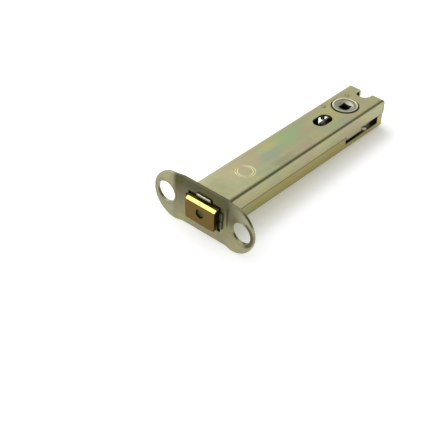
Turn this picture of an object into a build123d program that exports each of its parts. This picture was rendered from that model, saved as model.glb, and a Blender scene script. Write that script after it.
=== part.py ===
# Heavy tubular deadbolt, 5 inch, lying on its side with the bolt drawn in.
# Frame: +X goes into the door, the bolt is thrown towards -X, Y runs along the flange and Z is up.
# The origin is the centre of the two flange holes, on the front face of the flange's ears.
from build123d import *
import math
import os

# Fits and gaps, in millimetres like every length below
seat_gap = 0.02
running_gap = 0.05
sliding_gap = 0.15
seam_gap = 0.2
pick_margin = 1.0

# Flange: a pressed plate with round ends, whose middle is set back between two joggles
flange_length = 59.4
flange_height = 25.0
flange_sheet = 1.6
flange_set_back = 0.92
joggle_margin = 2.3
joggle_run = 3.6
joggle_bend = 1.2
flange_hole_margin = 7.2
flange_hole_diameter = 10.5

# Case: two half shells of folded sheet that meet at mid height
case_width = 21.6
case_height = 16.0
case_end = 123.4
shell_sheet = 1.2
shell_bend = 2.0
lower_inset = 0.15

# Peened tongues that hold the shells in the flange
tongue_width = 8.2
side_tongue_height = 4.0
tongue_notch_gap = 0.9
tongue_proud = 0.65
tongue_spread = 0.4

# Openings in the case
slot_ahead = 18.1
slot_length = 11.4
slot_width = 7.3
notch_behind = 15.95
notch_radius = 3.94
side_slot_behind = 1.1
side_slot_length = 26.5
side_slot_depth = 4.2
tab_length = 12.0
tab_end_gap = 0.3
tab_depth = 2.0

# Follower: a die-cast hub with a square hole, a forked lever, its other arm and a spring crank
follower_setback = 18.9
follower_hole_radius = 7.2
hub_radius = 6.4
hub_proud = 0.4
hub_core_radius = 5.0
square_drive = 5.0
funnel_radius = 4.3
funnel_depth = 1.7
rim_width = 0.7
rim_depth = 0.35
upper_shoulder_radius = 8.2
lower_shoulder_radius = 6.9
shoulder_height = 1.0
bush_flange_radius = 8.6
bush_flange = 0.75
bush_recess = 0.6
lever_sheet = 1.7
lever_margin = 4.5
lever_width = 8.4
arm_reach = 10.9
arm_width = 4.6
crank_radius = 6.9
crank_boss_radius = 1.5
crank_angle = 74.5

# Bolt, its steel insert and the sleeve that guides it
bolt_face = -2.16
bevel_depth = 1.65
bevel_drop = 1.15
insert_diameter = 4.6
insert_length = 14.0
insert_recess = 0.7
insert_chamfer = 0.3
sleeve_length = 14.0
sleeve_side_wall = 0.7
sleeve_top_wall = 1.05
sleeve_clearance = 0.1

# Tail strap, at the right past the slot, and the roller that the follower's fork drives
drive_side = -1
tail_sheet = 2.2
tail_grip = 15.0
tail_slot_margin = 7.4
tail_prong_width = 4.0
tail_inner_corner = 3.0
tail_outer_corner = 2.0
stud_margin = 2.0
stud_radius = 1.1
stud_head_radius = 1.9
stud_head = 0.8
roller_radius = 1.6
fork_play = 0.65
rivet_diameter = 3.2
rivet_spacing = 7.0
rivet_margin = 4.0
stop_gap = 0.1

# Over-centre spring at the left of the follower
post_behind = 14.0
post_margin = 1.95
post_collar = 0.25
wire_diameter = 0.7
spring_diameter = 3.4
spring_turns = 5
wire_sides = 8
front_shank = 3.2
rear_shank = 2.2
spring_z = 1.2

# Two short pins staked in the top panel, beside the follower
pin_radius = 1.0
pin_shank_radius = 0.75
pin_proud = 0.25
pin_places = [("case_pin_front", -8.0, 7.2, 6.0), ("case_pin_rear", 8.3, 5.0, 3.2)]

# Worked-out places that several pieces share
half_width = case_width / 2
half_height = case_height / 2
follower_x = case_end - follower_setback
slot_x = follower_x - slot_ahead
notch_x = follower_x + notch_behind
side_slot_x = follower_x + side_slot_behind
post_x = follower_x + post_behind
flange_hole_spacing = flange_length - 2 * flange_hole_margin
joggle_inner = half_width + joggle_margin
joggle_outer = joggle_inner + joggle_run
inside_half_width = half_width - shell_sheet
inside_half_height = half_height - shell_sheet
flange_back = flange_set_back + flange_sheet
shell_front = flange_back + seat_gap
sleeve_front = flange_back + seat_gap
sleeve_back = sleeve_front + sleeve_length
lower_half_width = half_width - lower_inset
lower_inside_half_width = lower_half_width - shell_sheet
bolt_width = 2 * (
    lower_inside_half_width - running_gap - sleeve_side_wall - sleeve_clearance
)
bolt_height = 2 * (
    inside_half_height - running_gap - sleeve_top_wall - sleeve_clearance
)
tail_half_width = lower_inside_half_width - sliding_gap
stud_offset = tail_half_width - stud_margin
lever_reach = stud_offset + lever_margin
throw = 2 * stud_offset
head_back = sleeve_back + throw + stop_gap
post_y = lower_inside_half_width - post_margin
tail_prong_inner = tail_half_width - tail_prong_width
tail_prong_start = slot_x - tail_slot_margin
upper_edge = seam_gap / 2
lower_edge = -seam_gap / 2
tail_half = tail_sheet / 2
bush_inner = inside_half_height - running_gap - bush_flange
hub_shoulder = bush_inner - running_gap
lever_top = -tab_depth - 2 * sliding_gap
lever_bottom = lever_top - lever_sheet
stud_x = follower_x + stud_offset
stud_y = drive_side * stud_offset
fork_half = roller_radius + fork_play
wire_radius = wire_diameter / 2
coil_radius = (spring_diameter - wire_diameter) / 2
eye_pin_radius = coil_radius - wire_radius - running_gap
bush_radius = follower_hole_radius - running_gap

os.makedirs("parts", exist_ok=True)


# Flange: the joggled side profile, trimmed to the rounded outline seen from the front
half_length = flange_length / 2
with BuildPart() as flange:
    with BuildSketch(Plane.XY.offset(-flange_height / 2)):
        with BuildLine():
            Polyline(
                (0, half_length),
                (0, joggle_outer),
                (flange_set_back, joggle_inner),
                (flange_set_back, -joggle_inner),
                (0, -joggle_outer),
                (0, -half_length),
                (flange_sheet, -half_length),
                (flange_sheet, -joggle_outer),
                (flange_back, -joggle_inner),
                (flange_back, joggle_inner),
                (flange_sheet, joggle_outer),
                (flange_sheet, half_length),
                close=True,
            )
        make_face()
        bends = [v for v in vertices() if abs(v.Y) < half_length - pick_margin]
        fillet(bends, joggle_bend)
    extrude(amount=flange_height)
    with BuildSketch(Plane.YZ.offset(-flange_back)):
        SlotOverall(flange_length, flange_height)
    extrude(amount=3 * flange_back, mode=Mode.INTERSECT)
    with BuildSketch(Plane.YZ.offset(-flange_back)):
        with GridLocations(flange_hole_spacing, 0, 2, 1):
            Circle(flange_hole_diameter / 2)
        Rectangle(2 * inside_half_width, 2 * inside_half_height)
        Rectangle(tongue_width + 2 * tongue_notch_gap, case_height + 2 * seat_gap)
        Rectangle(
            case_width + 2 * seat_gap,
            2 * (side_tongue_height + upper_edge + tongue_notch_gap / 2),
        )
    extrude(amount=3 * flange_back, mode=Mode.SUBTRACT)
flange.part.label = "flange"
export_step(flange.part, "parts/flange.step")


# Openings that both shells share, cut right through the case
with BuildSketch(Plane.XY.offset(-case_height)) as case_openings:
    with Locations((slot_x, 0)):
        SlotOverall(slot_length, slot_width)
    with Locations((follower_x, 0)):
        Circle(follower_hole_radius)
    with Locations((notch_x, 0)):
        Circle(notch_radius)
        Rectangle(case_end, 2 * notch_radius, align=(Align.MIN, Align.CENTER))


# Upper shell: a channel open downwards, with two flaps folded down at the rear
with BuildPart() as upper_shell:
    with BuildSketch(Plane.YZ.offset(shell_front)):
        RectangleRounded(case_width, case_height, shell_bend)
        RectangleRounded(
            2 * inside_half_width,
            2 * inside_half_height,
            shell_bend - shell_sheet,
            mode=Mode.SUBTRACT,
        )
        with Locations((0, upper_edge)):
            Rectangle(
                2 * case_width,
                case_height,
                align=(Align.CENTER, Align.MAX),
                mode=Mode.SUBTRACT,
            )
    extrude(amount=case_end - shell_front)
    # Rear flaps, folded from the top panel between the side walls
    with BuildSketch(Plane.YZ.offset(case_end - shell_sheet)):
        with Locations((0, upper_edge)):
            Rectangle(
                2 * inside_half_width,
                inside_half_height - upper_edge,
                align=(Align.CENTER, Align.MIN),
            )
            for side in (-1, 1):
                with Locations((side * inside_half_width, 0)):
                    Rectangle(
                        sliding_gap,
                        half_height - shell_bend - upper_edge,
                        align=(Align.MIN if side < 0 else Align.MAX, Align.MIN),
                        mode=Mode.SUBTRACT,
                    )
    extrude(amount=shell_sheet)
    # The fold at the rear is as round as those along the sides
    with BuildSketch(Plane.XZ.offset(-case_width)):
        with Locations((case_end, half_height)):
            Rectangle(
                case_end - shell_front,
                half_height - upper_edge,
                align=(Align.MAX, Align.MAX),
            )
        rear_corner = vertices().sort_by(lambda v: v.X + v.Y)[-1]
        fillet(rear_corner, shell_bend)
    extrude(amount=2 * case_width, mode=Mode.INTERSECT)
    # Tongue in the middle and one at each side, peened over the flange
    with BuildSketch(Plane.YZ.offset(shell_front)):
        with Locations((0, half_height)):
            Rectangle(tongue_width, shell_sheet, align=(Align.CENTER, Align.MAX))
        for side in (-1, 1):
            with Locations((side * (half_width - shell_sheet / 2), upper_edge)):
                Rectangle(
                    shell_sheet, side_tongue_height, align=(Align.CENTER, Align.MIN)
                )
    extrude(amount=-(flange_sheet + seat_gap + tongue_proud))
    with BuildSketch(Plane.YZ.offset(flange_set_back - seat_gap)):
        with Locations((0, inside_half_height)):
            Rectangle(
                tongue_width + tongue_spread,
                shell_sheet + tongue_spread,
                align=(Align.CENTER, Align.MIN),
            )
        for side in (-1, 1):
            with Locations((side * inside_half_width, upper_edge)):
                Rectangle(
                    shell_sheet + tongue_spread,
                    side_tongue_height + tongue_spread / 2,
                    align=(Align.MIN if side > 0 else Align.MAX, Align.MIN),
                )
    extrude(amount=-(tongue_proud - seat_gap))
    # Locating tabs that hang into the side slots, one half of each slot, turned about the follower
    for side in (-1, 1):
        with BuildSketch(Plane.XZ.offset(-side * inside_half_width)):
            tab_x = side_slot_x + side * (side_slot_length / 2 - tab_end_gap)
            with Locations((tab_x, upper_edge + seam_gap)):
                Rectangle(
                    tab_length,
                    tab_depth + upper_edge + seam_gap,
                    align=(Align.MAX if side > 0 else Align.MIN, Align.MAX),
                )
        extrude(amount=-side * shell_sheet)
    # Holes for the two staked pins
    with Locations(*[(follower_x + x, y, half_height) for _, x, y, _ in pin_places]):
        Cylinder(pin_shank_radius + seat_gap, 3 * shell_sheet, mode=Mode.SUBTRACT)
    extrude(case_openings.sketch, amount=2 * case_height, mode=Mode.SUBTRACT)
upper_shell.part.label = "upper_shell"
export_step(upper_shell.part, "parts/upper_shell.step")


# Lower shell: a channel open upwards, with flaps folded inwards from its side walls
with BuildPart() as lower_shell:
    with BuildSketch(Plane.YZ.offset(shell_front)):
        RectangleRounded(2 * lower_half_width, case_height, shell_bend)
        RectangleRounded(
            2 * lower_inside_half_width,
            2 * inside_half_height,
            shell_bend - shell_sheet,
            mode=Mode.SUBTRACT,
        )
        with Locations((0, lower_edge)):
            Rectangle(
                2 * case_width,
                case_height,
                align=(Align.CENTER, Align.MIN),
                mode=Mode.SUBTRACT,
            )
    extrude(amount=case_end - shell_front)
    # Rear flaps: an L seen from above, its outer corner bent round
    flap_height = inside_half_height - sliding_gap + lower_edge
    with BuildSketch(Plane.XY.offset(lower_edge)):
        for side in (-1, 1):
            with Locations((case_end, side * lower_half_width)):
                Rectangle(
                    shell_sheet,
                    lower_half_width - notch_radius,
                    align=(Align.MAX, Align.MAX if side > 0 else Align.MIN),
                )
    extrude(amount=-flap_height)
    rear_corners = (
        lower_shell.edges()
        .filter_by(Axis.Z)
        .filter_by(lambda e: abs(e.center().X - case_end) < seat_gap)
        .filter_by(lambda e: abs(abs(e.center().Y) - lower_half_width) < seat_gap)
    )
    fillet(rear_corners, shell_bend / 2)
    # Side slots, open at the seam
    with BuildSketch(Plane.XZ.offset(-case_width)):
        with Locations((side_slot_x, 0)):
            Rectangle(side_slot_length, 2 * side_slot_depth)
    extrude(amount=2 * case_width, mode=Mode.SUBTRACT)
    # Tongues as on the upper shell
    with BuildSketch(Plane.YZ.offset(shell_front)):
        with Locations((0, -half_height)):
            Rectangle(tongue_width, shell_sheet, align=(Align.CENTER, Align.MIN))
        for side in (-1, 1):
            with Locations((side * (lower_half_width - shell_sheet / 2), lower_edge)):
                Rectangle(
                    shell_sheet, side_tongue_height, align=(Align.CENTER, Align.MAX)
                )
    extrude(amount=-(flange_sheet + seat_gap + tongue_proud))
    with BuildSketch(Plane.YZ.offset(flange_set_back - seat_gap)):
        with Locations((0, -inside_half_height)):
            Rectangle(
                tongue_width + tongue_spread,
                shell_sheet + tongue_spread,
                align=(Align.CENTER, Align.MAX),
            )
        for side in (-1, 1):
            with Locations((side * lower_inside_half_width, lower_edge)):
                Rectangle(
                    shell_sheet + tongue_spread,
                    side_tongue_height + tongue_spread / 2,
                    align=(Align.MIN if side > 0 else Align.MAX, Align.MAX),
                )
    extrude(amount=-(tongue_proud - seat_gap))
    extrude(case_openings.sketch, amount=2 * case_height, mode=Mode.SUBTRACT)
lower_shell.part.label = "lower_shell"
export_step(lower_shell.part, "parts/lower_shell.step")


# Guide sleeve: a moulded tube behind the flange that carries the bolt
with BuildPart() as guide_sleeve:
    with BuildSketch(Plane.YZ.offset(sleeve_front)):
        RectangleRounded(
            2 * (lower_inside_half_width - running_gap),
            2 * (inside_half_height - running_gap),
            shell_bend - shell_sheet,
        )
        Rectangle(
            bolt_width + 2 * sleeve_clearance,
            bolt_height + 2 * sleeve_clearance,
            mode=Mode.SUBTRACT,
        )
    extrude(amount=sleeve_length)
guide_sleeve.part.label = "guide_sleeve"
export_step(guide_sleeve.part, "parts/guide_sleeve.step")


# Bolt head: a brass bar, bevelled along its front long edges, slotted at the rear for the tail
rivet_places = [
    (head_back - rivet_margin - rivet_spacing, 0),
    (head_back - rivet_margin, 0),
]
with BuildPart() as bolt_head:
    with BuildSketch(Plane.XZ.offset(-bolt_width / 2)):
        with BuildLine():
            Polyline(
                (bolt_face, bolt_height / 2 - bevel_drop),
                (bolt_face + bevel_depth, bolt_height / 2),
                (head_back, bolt_height / 2),
                (head_back, -bolt_height / 2),
                (bolt_face + bevel_depth, -bolt_height / 2),
                (bolt_face, -bolt_height / 2 + bevel_drop),
                close=True,
            )
        make_face()
    extrude(amount=bolt_width)
    with BuildSketch(Plane.YZ.offset(bolt_face)):
        Circle(insert_diameter / 2 + seat_gap)
    extrude(amount=insert_recess + insert_length + seat_gap, mode=Mode.SUBTRACT)
    with BuildSketch(Plane.YZ.offset(head_back)):
        Rectangle(2 * bolt_width, tail_sheet + 2 * seat_gap)
    extrude(amount=-tail_grip - seat_gap, mode=Mode.SUBTRACT)
    with Locations(*[(x, y, 0) for x, y in rivet_places]):
        Cylinder(rivet_diameter / 2 + seat_gap, 2 * bolt_height, mode=Mode.SUBTRACT)
bolt_head.part.label = "bolt_head"
export_step(bolt_head.part, "parts/bolt_head.step")


# Hardened insert pin, pressed into the bolt's face
with BuildPart() as bolt_insert:
    with BuildSketch(Plane.YZ.offset(bolt_face + insert_recess)):
        Circle(insert_diameter / 2)
    extrude(amount=insert_length)
    chamfer(bolt_insert.edges().group_by(Axis.X)[0], insert_chamfer)
bolt_insert.part.label = "bolt_insert"
export_step(bolt_insert.part, "parts/bolt_insert.step")


# Tail strap: full width behind the bolt, then one prong past the slot and the follower
with BuildPart() as bolt_tail:
    with BuildSketch(Plane.XY.offset(-tail_half)):
        with Locations((head_back - tail_grip, 0)):
            Rectangle(
                tail_grip + 2 * seat_gap,
                bolt_width - 2 * sliding_gap,
                align=(Align.MIN, Align.CENTER),
            )
        with Locations((head_back + seat_gap, 0)):
            Rectangle(
                tail_prong_start - head_back - seat_gap,
                2 * tail_half_width,
                align=(Align.MIN, Align.CENTER),
            )
        with Locations((head_back + seat_gap, drive_side * tail_half_width)):
            Rectangle(
                case_end - shell_sheet - stop_gap - head_back - seat_gap,
                tail_prong_width,
                align=(Align.MIN, Align.MIN if drive_side < 0 else Align.MAX),
            )
        inner_corner = vertices().filter_by(
            lambda v: abs(v.X - tail_prong_start) < pick_margin
            and abs(v.Y - drive_side * tail_prong_inner) < pick_margin
        )
        fillet(inner_corner, tail_inner_corner)
        outer_corner = vertices().filter_by(
            lambda v: abs(v.X - tail_prong_start) < pick_margin
            and abs(v.Y + drive_side * tail_half_width) < pick_margin
        )
        fillet(outer_corner, tail_outer_corner)
    extrude(amount=tail_sheet)
    with Locations(*[(x, y, 0) for x, y in rivet_places]):
        Cylinder(rivet_diameter / 2 + seat_gap, 2 * tail_sheet, mode=Mode.SUBTRACT)
    with Locations((stud_x, stud_y, 0)):
        Cylinder(stud_radius + seat_gap, 2 * tail_sheet, mode=Mode.SUBTRACT)
bolt_tail.part.label = "bolt_tail"
export_step(bolt_tail.part, "parts/bolt_tail.step")


# Rivets that join the tail to the bolt, flush with the brass
for name, place in zip(("head_rivet_front", "head_rivet_rear"), rivet_places):
    with BuildPart() as head_rivet:
        with Locations((place[0], place[1], 0)):
            Cylinder(rivet_diameter / 2, bolt_height)
    head_rivet.part.label = name
    export_step(head_rivet.part, f"parts/{name}.step")


# Drive stud: a shouldered rivet through the tail, with a head below the follower's fork
roller_top = -tail_half - running_gap
roller_bottom = lever_bottom - running_gap
stud_foot = roller_bottom - running_gap
with BuildPart() as drive_stud:
    with Locations((stud_x, stud_y, stud_foot)):
        Cylinder(
            stud_radius,
            tail_half - stud_foot,
            align=(Align.CENTER, Align.CENTER, Align.MIN),
        )
    with Locations((stud_x, stud_y, tail_half + seat_gap)):
        Cylinder(
            stud_head_radius,
            stud_head,
            align=(Align.CENTER, Align.CENTER, Align.MIN),
        )
    with Locations((stud_x, stud_y, tail_half - seat_gap)):
        Cylinder(
            stud_radius, 2 * seat_gap, align=(Align.CENTER, Align.CENTER, Align.MIN)
        )
    with Locations((stud_x, stud_y, stud_foot)):
        Cylinder(
            stud_head_radius,
            stud_head,
            align=(Align.CENTER, Align.CENTER, Align.MAX),
        )
    rims = drive_stud.edges().filter_by(GeomType.CIRCLE)
    chamfer(rims.group_by(Axis.Z)[0] + rims.group_by(Axis.Z)[-1], stud_head / 3)
drive_stud.part.label = "drive_stud"
export_step(drive_stud.part, "parts/drive_stud.step")


# Drive roller, free on the stud
with BuildPart() as drive_roller:
    with Locations((stud_x, stud_y, roller_bottom)):
        Cylinder(
            roller_radius,
            roller_top - roller_bottom,
            align=(Align.CENTER, Align.CENTER, Align.MIN),
        )
        Cylinder(
            stud_radius + running_gap,
            roller_top - roller_bottom,
            align=(Align.CENTER, Align.CENTER, Align.MIN),
            mode=Mode.SUBTRACT,
        )
drive_roller.part.label = "drive_roller"
export_step(drive_roller.part, "parts/drive_roller.step")


# Follower: a stepped hub turned about its own axis, then its lever, crank arm and square hole
follower_axis = Axis((follower_x, 0, 0), (0, 0, 1))
hub_end = half_height + hub_proud
core_top = hub_shoulder - shoulder_height
core_bottom = stud_foot - stud_head - running_gap
crank_x = follower_x + crank_radius * math.cos(math.radians(crank_angle))
crank_y = crank_radius * math.sin(math.radians(crank_angle))
hub_plane = Plane(origin=(follower_x, 0, 0), x_dir=(1, 0, 0), z_dir=(0, -1, 0))
with BuildPart() as follower:
    with BuildSketch(hub_plane):
        with BuildLine():
            Polyline(
                (0, -hub_end),
                (hub_radius, -hub_end),
                (hub_radius, -hub_shoulder),
                (lower_shoulder_radius, -hub_shoulder),
                (lower_shoulder_radius, core_bottom),
                (hub_core_radius, core_bottom),
                (hub_core_radius, core_top),
                (upper_shoulder_radius, core_top),
                (upper_shoulder_radius, hub_shoulder),
                (hub_radius, hub_shoulder),
                (hub_radius, hub_end),
                (0, hub_end),
                close=True,
            )
        make_face()
    revolve(axis=follower_axis)
    # Forked lever, pointing to the rear right while the bolt is drawn in, and its other arm
    lever_plane = Plane(
        origin=(follower_x, 0, lever_bottom), x_dir=(1, drive_side, 0), z_dir=(0, 0, 1)
    )
    with BuildSketch(lever_plane):
        Rectangle(lever_reach, lever_width, align=(Align.MIN, Align.CENTER))
        Circle(lever_reach, mode=Mode.INTERSECT)
        with Locations((stud_offset - roller_radius - running_gap, 0)):
            Rectangle(
                lever_reach,
                2 * fork_half,
                align=(Align.MIN, Align.CENTER),
                mode=Mode.SUBTRACT,
            )
        Rectangle(
            arm_reach - arm_width / 2, arm_width, align=(Align.MAX, Align.CENTER)
        )
        with Locations((arm_width / 2 - arm_reach, 0)):
            Circle(arm_width / 2)
    extrude(amount=lever_sheet)
    # Crank arm with a downward peg for the spring's eye
    crank_plane = Plane(
        origin=(follower_x, 0, spring_z + wire_radius + sliding_gap),
        x_dir=(math.cos(math.radians(crank_angle)), math.sin(math.radians(crank_angle)), 0),
        z_dir=(0, 0, 1),
    )
    with BuildSketch(crank_plane):
        Rectangle(crank_radius, 2 * crank_boss_radius, align=(Align.MIN, Align.CENTER))
        with Locations((crank_radius, 0)):
            Circle(crank_boss_radius)
    extrude(amount=lever_sheet)
    with Locations((crank_x, crank_y, spring_z - wire_diameter)):
        Cylinder(
            eye_pin_radius,
            2 * wire_diameter,
            align=(Align.CENTER, Align.CENTER, Align.MIN),
        )
    # Square hole with a funnel and a sunk ring at each end
    with BuildSketch(Plane.XY.offset(-hub_end)):
        with Locations((follower_x, 0)):
            Rectangle(square_drive, square_drive)
    extrude(amount=2 * hub_end, mode=Mode.SUBTRACT)
    for end in (-1, 1):
        ring_floor = end * (hub_end - rim_depth)
        with BuildSketch(Plane.XY.offset(ring_floor)):
            with Locations((follower_x, 0)):
                Circle(hub_radius - rim_width)
        extrude(amount=end * 2 * rim_depth, mode=Mode.SUBTRACT)
        with Locations((follower_x, 0, ring_floor)):
            Cone(
                square_drive / 2 if end > 0 else funnel_radius,
                funnel_radius if end > 0 else square_drive / 2,
                funnel_depth,
                align=(
                    Align.CENTER,
                    Align.CENTER,
                    Align.MAX if end > 0 else Align.MIN,
                ),
                mode=Mode.SUBTRACT,
            )
follower.part.label = "follower"
export_step(follower.part, "parts/follower.step")


# Bearing rings of the follower: a flange inside the case and a collar in the round hole
for name, end in (("follower_bush_lower", -1), ("follower_bush_upper", 1)):
    with BuildPart() as bush:
        with BuildSketch(Plane.XY.offset(end * bush_inner)):
            with Locations((follower_x, 0)):
                Circle(bush_flange_radius)
                Circle(hub_radius + running_gap, mode=Mode.SUBTRACT)
        extrude(amount=end * bush_flange)
        with BuildSketch(Plane.XY.offset(end * bush_inner)):
            with Locations((follower_x, 0)):
                Circle(bush_radius)
                Circle(hub_radius + running_gap, mode=Mode.SUBTRACT)
        extrude(amount=end * (half_height - bush_recess - bush_inner))
    bush.part.label = name
    export_step(bush.part, f"parts/{name}.step")


# Pins staked in the top panel; the front one's lower end shows through the slot
for name, along_x, along_y, reach in pin_places:
    with BuildPart() as case_pin:
        with Locations((follower_x + along_x, along_y, inside_half_height - seat_gap)):
            Cylinder(
                pin_radius, reach, align=(Align.CENTER, Align.CENTER, Align.MAX)
            )
            Cylinder(
                pin_shank_radius,
                shell_sheet + pin_proud + seat_gap,
                align=(Align.CENTER, Align.CENTER, Align.MIN),
            )
        pin_rims = case_pin.edges().filter_by(GeomType.CIRCLE)
        chamfer(pin_rims.group_by(Axis.Z)[-1], pin_proud)
    case_pin.part.label = name
    export_step(case_pin.part, f"parts/{name}.step")


# Spring post, staked in the bottom panel, with a head over the spring's eye
post_top = spring_z + wire_diameter
with BuildPart() as spring_post:
    with Locations((post_x, post_y, -inside_half_height + seat_gap)):
        Cylinder(
            eye_pin_radius,
            post_top + inside_half_height - seat_gap,
            align=(Align.CENTER, Align.CENTER, Align.MIN),
        )
        Cylinder(
            eye_pin_radius + post_collar,
            spring_z - wire_radius - running_gap + inside_half_height - seat_gap,
            align=(Align.CENTER, Align.CENTER, Align.MIN),
        )
spring_post.part.label = "spring_post"
export_step(spring_post.part, "parts/spring_post.step")


# Over-centre spring: a close coil with a shank and an eye at each end, from the crank to the post
crank_peg = Vector(crank_x, crank_y, spring_z)
post_eye = Vector(post_x, post_y, spring_z)
along = (post_eye - crank_peg).normalized()
across = Vector(-along.Y, along.X, 0)
eye_distance = (post_eye - crank_peg).length
coil_length = eye_distance - front_shank - rear_shank
coil_start = crank_peg + along * front_shank
with BuildPart() as toggle_spring:
    with BuildLine() as coil:
        Helix(
            coil_length / spring_turns,
            coil_length,
            coil_radius,
            center=coil_start,
            direction=along,
        )
    with BuildSketch(Plane(origin=coil.line @ 0, z_dir=coil.line % 0)):
        RegularPolygon(wire_radius, wire_sides)
    sweep(path=coil.line, is_frenet=True)
    for eye, inwards, shank in (
        (crank_peg, along, front_shank),
        (post_eye, -along, rear_shank),
    ):
        shank_start = eye + across * coil_radius
        with BuildSketch(Plane(origin=shank_start, z_dir=inwards)):
            RegularPolygon(wire_radius + seat_gap, wire_sides)
        extrude(amount=shank + wire_radius)
        with BuildSketch(Plane(origin=shank_start, z_dir=inwards)):
            RegularPolygon(wire_radius, wire_sides)
        revolve(axis=Axis(eye, (0, 0, 1)))
toggle_spring.part.label = "toggle_spring"
export_step(toggle_spring.part, "parts/toggle_spring.step")
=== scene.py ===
"""Studio scene of a heavy tubular deadbolt: two-shell case, joggled flange and brass bolt."""

import math

import bmesh
import bpy
import numpy as np
from mathutils import Matrix, Vector


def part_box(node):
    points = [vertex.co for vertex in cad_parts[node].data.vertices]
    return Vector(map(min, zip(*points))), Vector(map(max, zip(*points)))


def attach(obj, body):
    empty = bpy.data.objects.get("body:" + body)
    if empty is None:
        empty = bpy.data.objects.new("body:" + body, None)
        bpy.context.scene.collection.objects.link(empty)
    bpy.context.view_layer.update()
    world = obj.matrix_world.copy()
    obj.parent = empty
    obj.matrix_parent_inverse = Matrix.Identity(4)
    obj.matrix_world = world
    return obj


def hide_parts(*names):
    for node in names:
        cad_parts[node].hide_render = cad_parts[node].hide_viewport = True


bl_info = {
    "name": "Tubular Deadbolt",
    "version": (1, 0, 0),
    "blender": (4, 5, 0),
    "location": "View3D > Sidebar > Deadbolt",
    "description": "Dresses a tubular deadbolt and sets it on a pale studio floor",
    "category": "Object",
}

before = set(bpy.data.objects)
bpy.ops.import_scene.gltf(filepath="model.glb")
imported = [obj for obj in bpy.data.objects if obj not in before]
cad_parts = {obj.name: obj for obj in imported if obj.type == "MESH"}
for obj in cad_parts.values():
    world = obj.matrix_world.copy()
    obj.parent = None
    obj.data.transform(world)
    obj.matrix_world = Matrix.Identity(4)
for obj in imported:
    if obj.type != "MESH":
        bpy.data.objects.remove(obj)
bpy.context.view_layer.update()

# Angles between faces from which an edge stays crisp, on packed and on added pieces
SHEET_ANGLE = math.radians(38.0)
ADDED_ANGLE = math.radians(20.0)
WHITE = (1.0, 1.0, 1.0, 1.0)


# Small helpers for shader trees
def add(tree, kind, props=None, inputs=None):
    """Add one shader node; an input given as a socket is linked, any other is set."""
    made = tree.nodes.new(kind)
    for key, value in (props or {}).items():
        setattr(made, key, value)
    for key, value in (inputs or {}).items():
        if isinstance(value, bpy.types.NodeSocket):
            tree.links.new(value, made.inputs[key])
        else:
            made.inputs[key].default_value = value
    return made


def colour(value):
    """A colour with its alpha, as the sockets want it."""
    return (value[0], value[1], value[2], 1.0)


def place(tree, scale=(1, 1, 1), move=(0, 0, 0), turn=(0, 0, 0)):
    """Object coordinates, turned, stretched by scale and moved."""
    source = tree.nodes.get("Object place") or add(
        tree, "ShaderNodeTexCoord", {"name": "Object place"}
    )
    mapping = add(
        tree,
        "ShaderNodeMapping",
        inputs={
            "Vector": source.outputs["Object"],
            "Location": move,
            "Rotation": turn,
            "Scale": scale,
        },
    )
    return mapping.outputs["Vector"]


def noise(tree, vector, scale, detail=2.0, roughness=0.5, distortion=0.0):
    """Fractal noise between 0 and 1."""
    made = add(
        tree,
        "ShaderNodeTexNoise",
        inputs={
            "Vector": vector,
            "Scale": scale,
            "Detail": detail,
            "Roughness": roughness,
            "Distortion": distortion,
        },
    )
    return made.outputs["Fac"]


def remap(tree, value, from_low, from_high, low, high, kind="LINEAR"):
    """Value carried from one range to another, clamped at both ends."""
    made = add(
        tree,
        "ShaderNodeMapRange",
        {"interpolation_type": kind},
        {0: value, 1: from_low, 2: from_high, 3: low, 4: high},
    )
    return made.outputs["Result"]


def work(tree, operation, first, second=0.0):
    """One step of arithmetic on two values."""
    return add(tree, "ShaderNodeMath", {"operation": operation}, {0: first, 1: second}).outputs[0]


def product(tree, first, *others):
    """All the values multiplied together."""
    for other in others:
        first = work(tree, "MULTIPLY", first, other)
    return first


def length(tree, vector):
    """Length of a vector."""
    return add(tree, "ShaderNodeVectorMath", {"operation": "LENGTH"}, {0: vector}).outputs["Value"]


def blend_value(tree, factor, first, second):
    """Second value laid over the first by factor."""
    made = add(tree, "ShaderNodeMix", {"data_type": "FLOAT"}, {0: factor, 2: first, 3: second})
    return made.outputs[0]


def blend_colour(tree, factor, first, second, mode="MIX"):
    """Second colour laid over the first by factor."""
    made = add(
        tree,
        "ShaderNodeMix",
        {"data_type": "RGBA", "blend_type": mode, "clamp_factor": True},
        {0: factor, 6: first, 7: second},
    )
    return made.outputs[2]


def bump(tree, height, strength, distance, normal=None):
    """Bump from a height, laid over another normal where one is given."""
    inputs = {"Height": height, "Strength": strength, "Distance": distance}
    if normal is not None:
        inputs["Normal"] = normal
    return add(tree, "ShaderNodeBump", inputs=inputs).outputs["Normal"]


def bare_tree(owner):
    """Give a material or a world an empty node tree."""
    owner.use_nodes = True
    owner.node_tree.nodes.clear()
    return owner.node_tree


def new_finish(name):
    """A material with only a shader and an output; gives the material, its tree and its shader."""
    made = bpy.data.materials.new(name)
    tree = bare_tree(made)
    shader = add(tree, "ShaderNodeBsdfPrincipled")
    add(tree, "ShaderNodeOutputMaterial", inputs={"Surface": shader.outputs["BSDF"]})
    return made, tree, shader


def wear(tree, shader, **sockets):
    """Link or set the shader's own sockets by name, with _ for a blank."""
    for key, value in sockets.items():
        name = key.replace("_", " ")
        if isinstance(value, bpy.types.NodeSocket):
            tree.links.new(value, shader.inputs[name])
        else:
            shader.inputs[name].default_value = value


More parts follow.
